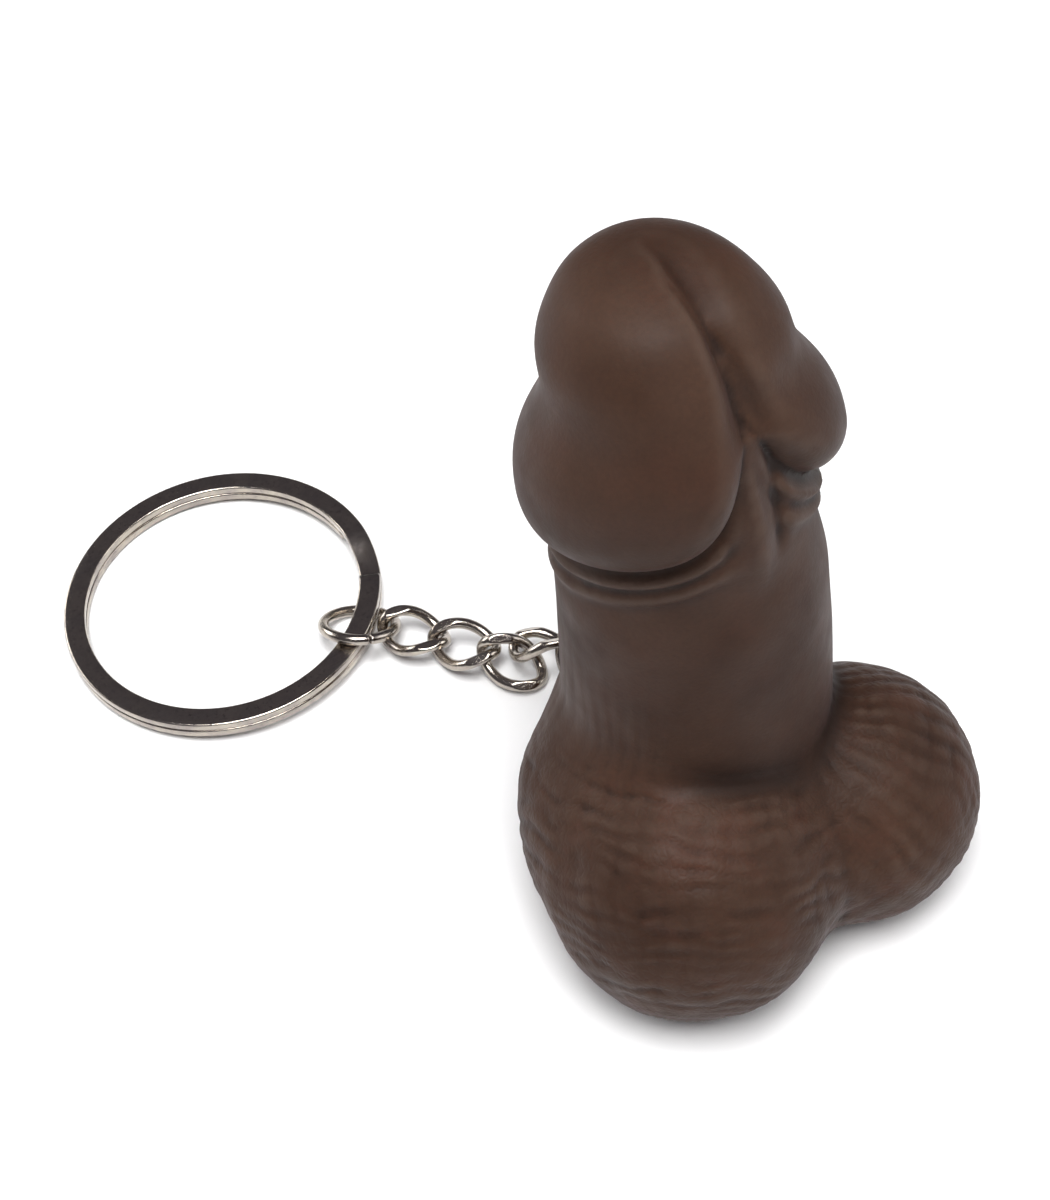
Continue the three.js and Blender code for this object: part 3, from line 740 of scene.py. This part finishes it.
def local_frame(name):
    """A CAD piece's middle, and its longest, middle and shortest axes as rows."""
    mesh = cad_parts[name].data
    points = np.array([vertex.co for vertex in mesh.vertices]) / MM
    centres = np.array([face.center for face in mesh.polygons]) / MM
    areas = np.array([face.area for face in mesh.polygons])
    offset = centres - np.average(centres, axis=0, weights=areas)
    axes = np.linalg.eigh((offset * areas[:, None]).T @ offset)[1].T[::-1]
    if axes[2][2] < 0:
        axes[2] *= -1
    axes[1] = np.cross(axes[2], axes[0])
    reach = points @ axes.T
    return (reach.min(0) + reach.max(0)) / 2 @ axes, axes


def ring_frame(name, towards):
    """As local_frame, for a ring, with the first axis towards a point."""
    middle, axes = local_frame(name)
    first = towards - middle
    first = unit(first - axes[2] * (first @ axes[2]))
    return middle, np.array([first, np.cross(axes[2], first), axes[2]])


def fitting(name, node, body, shape, pose, nickel):
    """Makes a metal piece of a shape, points and faces, that is turned and moved to a CAD piece's frame."""
    points, faces = shape
    middle, axes = pose
    finish_piece(mesh_object(name, points @ axes + middle, faces), nickel, node, body)


def jump_ring_shape(slit_at):
    """A wire ring whose slit lies at this angle from its own X axis, with its wire ends just rounded."""
    slit = math.radians(JUMP_RING_SLIT)
    start = math.radians(slit_at) + slit / 2

    def place(t):
        angle = start + t * (2 * math.pi - slit)
        end = min(t, 1 - t) * 2 * math.pi * JUMP_RING_LOOP
        radius = 1 - WIRE_END_ROUND * max(0, 1 - end / WIRE_END_ROUND)
        across = np.array((math.cos(angle), math.sin(angle), 0))
        return across * JUMP_RING_LOOP, across * radius, np.array((0, 0, radius))

    return sweep(round_section(JUMP_RING_WIRE, SIDES), place, JUMP_RING_STEPS, False)


def curb_link_shape():
    """An oval wire link, each end twisted, with two faces cut flat."""
    def twist_at(t):
        return -math.radians(LINK_TWIST) * math.cos(2 * math.pi * t)

    def centre_line(t):
        angle = 2 * math.pi * t
        x, y = LINK_HALF_LENGTH * math.cos(angle), LINK_HALF_WIDTH * math.sin(angle)
        twist = twist_at(t)
        return np.array((x, y * math.cos(twist), y * math.sin(twist)))

    def place(t):
        along = unit(centre_line(t + PATH_STEP) - centre_line(t - PATH_STEP))
        twist = twist_at(t)
        across = unit(np.cross(along, (0, -math.sin(twist), math.cos(twist))))
        return centre_line(t), across, np.cross(across, along)

    points, faces = sweep(round_section(LINK_WIRE, SIDES), place, LINK_STEPS, True)
    points[:, 2] = np.clip(points[:, 2], -LINK_HALF_THICKNESS, LINK_HALF_THICKNESS)
    return points, faces


def strip_section():
    """A flat strip's section with its corners rounded."""
    half_width, half_height = RING_WIDTH / 2, STRIP_THICKNESS / 2
    corner = STRIP_BEVEL
    section = []
    for quarter, (a, b) in enumerate([(1, 1), (-1, 1), (-1, -1), (1, -1)]):
        for i in range(BEVEL_POINTS):
            angle = math.pi / 2 * (quarter + i / (BEVEL_POINTS - 1))
            section.append((a * (half_width - corner) + corner * math.cos(angle),
                            b * (half_height - corner) + corner * math.sin(angle)))
    return section


def split_ring_shape():
    """Two turns of strip. The lower turn ends in a step up to the upper turn."""
    turns = 360 - JOGGLE_ANGLE
    total = 2 * 360 - JOGGLE_ANGLE - 2 * STRIP_END_GAP
    first = JOGGLE_START + JOGGLE_ANGLE + STRIP_END_GAP
    rise = STRIP_THICKNESS + TURN_GAP

    def place(t):
        share = (t * total - (turns - STRIP_END_GAP)) / JOGGLE_ANGLE
        height = -rise / 2 + rise * float(smooth(0, 1, share))
        angle = math.radians(first + t * total)
        across = np.array((math.cos(angle), math.sin(angle), 0))
        middle = across * (RING_OUTER - RING_WIDTH / 2) + np.array((0, 0, height))
        return middle, across, np.array((0.0, 0, 1))

    return sweep(strip_section(), place, STRIP_STEPS, False)


def make_chain_and_rings(nickel):
    """The split ring, the key jump ring, the links and the eye jump ring, each facing the piece it meets."""
    pose = ring_frame("split_ring", local_frame("key_jump_ring")[0])
    fitting("split_ring_strip", "split_ring", "split_ring_body", split_ring_shape(), pose, nickel)

    pose = ring_frame("key_jump_ring", local_frame("chain_link_1")[0])
    shape = jump_ring_shape(KEY_RING_SLIT_AT)
    fitting("key_jump_ring_wire", "key_jump_ring", "key_jump_ring_body", shape, pose, nickel)

    shape = curb_link_shape()
    for i in range(1, LINK_COUNT + 1):
        pose = local_frame(f"chain_link_{i}")
        fitting(f"chain_link_{i}_wire", f"chain_link_{i}", f"link_{i}_body", shape, pose, nickel)

    pose = ring_frame("eye_jump_ring", local_frame("screw_eye")[0])
    shape = jump_ring_shape(EYE_RING_SLIT_AT)
    fitting("eye_jump_ring_wire", "eye_jump_ring", "eye_ring_body", shape, pose, nickel)


def eye_loop_shape(centre):
    """The closed loop, rolled about the shank."""
    roll = math.radians(EYE_ROLL)
    side = np.array((math.cos(roll), 0, math.sin(roll)))
    shank_along = np.array((0.0, 1, 0))
    normal = np.cross(side, shank_along)

    def place(t):
        angle = 2 * math.pi * t
        across = side * math.cos(angle) + shank_along * math.sin(angle)
        return centre + across * EYE_LOOP, across, normal

    return sweep(round_section(EYE_WIRE, SIDES), place, EYE_STEPS, True)


def shank_shape(centre):
    """The threaded, pointed shank, which lies along Y and ends at the loop's wire."""
    length = centre[1] - EYE_LOOP - SHANK_END_Y
    rows, sides = SHANK_ROWS, 2 * SIDES
    places = np.linspace(SHANK_START, 1, rows) * length
    angles = np.arange(sides) * 2 * math.pi / sides
    place_grid, angle_grid = np.meshgrid(places, angles, indexing="ij")
    taper = np.clip(place_grid / SHANK_POINT, SHANK_TIP, 1)
    fade = np.clip((length - SHANK_NECK - place_grid) / THREAD_RUNOUT, 0, 1)
    wave = (0.5 + 0.5 * np.cos(2 * math.pi * place_grid / THREAD_PITCH - angle_grid)) ** THREAD_SHARPNESS
    radius = taper * (SHANK_RADIUS + THREAD_DEPTH * wave * fade)
    points = np.stack([centre[0] + radius * np.cos(angle_grid), SHANK_END_Y + place_grid,
                       centre[2] - radius * np.sin(angle_grid)], -1).reshape(-1, 3)
    faces = [tuple(range(sides))[::-1], tuple((rows - 1) * sides + k for k in range(sides))]
    for i in range(rows - 1):
        for k in range(sides):
            n = (k + 1) % sides
            faces.append((i * sides + k, i * sides + n, (i + 1) * sides + n, (i + 1) * sides + k))
    return points, faces


def make_screw_eye(nickel):
    """A closed loop and a threaded shank, joined into one body."""
    low, high = [np.array(corner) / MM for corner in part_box("screw_eye")]
    centre = (low + high) / 2
    centre[1] = high[1] - EYE_LOOP - EYE_WIRE
    loop = mesh_object("screw_eye_metal", *eye_loop_shape(centre))
    shank = mesh_object("screw_eye_shank", *shank_shape(centre))
    join = loop.modifiers.new("join", "BOOLEAN")
    join.operation = "UNION"
    join.solver = "EXACT"
    join.object = shank
    apply_modifiers(loop)
    bpy.data.objects.remove(shank)
    finish_piece(loop, nickel, "screw_eye", "figure_body")


# ---- Floor, light and camera ----

def area_light(name, at, size, power):
    """A rectangular light, placed and sized in metres, that shines on the lower half of the figure."""
    data = bpy.data.lights.new(name, "AREA")
    data.shape = "RECTANGLE"
    data.size, data.size_y = size
    data.energy = power
    light = bpy.data.objects.new(name, data)
    light.location = at
    aim = Vector((0, 0, 0.02)) - Vector(at)
    light.rotation_euler = aim.to_track_quat("-Z", "Y").to_euler()
    bpy.context.scene.collection.objects.link(light)


def make_floor():
    points = [(-2000, -2000, 0), (2000, -2000, 0), (2000, 2000, 0), (-2000, 2000, 0)]
    floor = mesh_object("floor", points, [(0, 1, 2, 3)], False)
    floor.data.materials.append(floor_material())


def make_world():
    """A dim room whose ceiling is a little darker than its walls."""
    world = bpy.data.worlds.new("room")
    world.use_nodes = True
    nodes, links = world.node_tree.nodes, world.node_tree.links
    direction = nodes.new("ShaderNodeTexCoord")
    split = nodes.new("ShaderNodeSeparateXYZ")
    ramp = nodes.new("ShaderNodeValToRGB")
    wall, ceiling = ramp.color_ramp.elements
    wall.position = 0.1
    wall.color = WALL
    ceiling.position = 0.6
    ceiling.color = CEILING
    links.new(direction.outputs["Generated"], split.inputs[0])
    links.new(split.outputs["Z"], ramp.inputs["Fac"])
    links.new(ramp.outputs["Color"], nodes["Background"].inputs["Color"])
    bpy.context.scene.world = world


def make_camera():
    data = bpy.data.cameras.new("camera")
    data.sensor_width = CAMERA_SENSOR
    data.lens = CAMERA_LENS
    data.clip_start = 0.01
    camera = bpy.data.objects.new("camera", data)
    heading, pitch = math.radians(CAMERA_HEADING), math.radians(CAMERA_PITCH)
    level = math.cos(pitch)
    ahead = Vector((level * math.sin(heading), level * math.cos(heading), -math.sin(pitch)))
    turn = ahead.to_track_quat("-Z", "Y").to_matrix().to_4x4()
    roll = Matrix.Rotation(math.radians(CAMERA_ROLL), 4, "Z")
    camera.matrix_world = Matrix.Translation(Vector(CAMERA_AT) * MM) @ turn @ roll
    bpy.context.scene.collection.objects.link(camera)
    bpy.context.scene.camera = camera


plastic = soft_plastic_material()
nickel = nickel_material()
make_figure(plastic)
make_chain_and_rings(nickel)
make_screw_eye(nickel)

make_floor()
make_world()
make_camera()
area_light("key", (-0.08, -0.12, 0.6), (0.3, 0.3), 5)
area_light("fill", (0.5, -0.3, 0.35), (0.4, 0.4), 1.2)
area_light("back", (-0.3, 0.5, 0.25), (0.4, 0.2), 1.5)
bpy.context.scene.view_settings.view_transform = "Standard"
